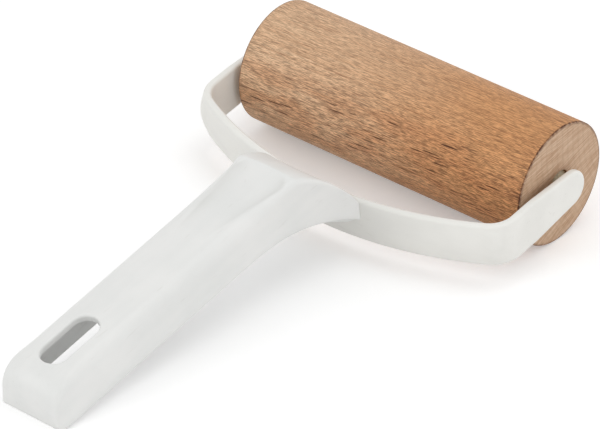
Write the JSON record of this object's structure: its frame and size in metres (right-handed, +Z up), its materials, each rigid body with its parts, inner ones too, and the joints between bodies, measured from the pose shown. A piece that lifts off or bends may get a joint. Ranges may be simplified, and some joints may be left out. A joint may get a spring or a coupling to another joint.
{
  "type": "hand roller",
  "caption": "Hand roller: a wooden roller that spins on an axle in a white moulded U-shaped yoke, with a hollow moulded handle that has a thumb rest and a hanging slot.",
  "frame": {"origin": "bottom centre of the bounding box, on the level top that the roller and the handle's end rest on", "axes": "+Z up, +Y from the handle's end towards the roller, +X along the axle to the right"},
  "size_m": [0.1202, 0.1948, 0.04],
  "materials": {
    "beech": "plain sanded beech, lightly oiled",
    "bush_plastic": "natural moulded",
    "steel": "drawn rod",
    "yoke_plastic": "satin moulded",
    "handle_plastic": "satin moulded",
    "screw_steel": "zinc plated"
  },
  "bodies": {
    "frame": {"yoke": "yoke_plastic", "handle": "handle_plastic", "axle": "steel", "yoke_screws": "screw_steel"},
    "roller": {"roller": "beech", "left_bush": "bush_plastic", "right_bush": "bush_plastic"}
  },
  "joints": [
    {"name": "roller_spin", "type": "hinge", "parent": "frame", "child": "roller", "pos_m": [0, 0.07738, 0.02], "axis": [1, 0, 0], "continuous": true}
  ]
}
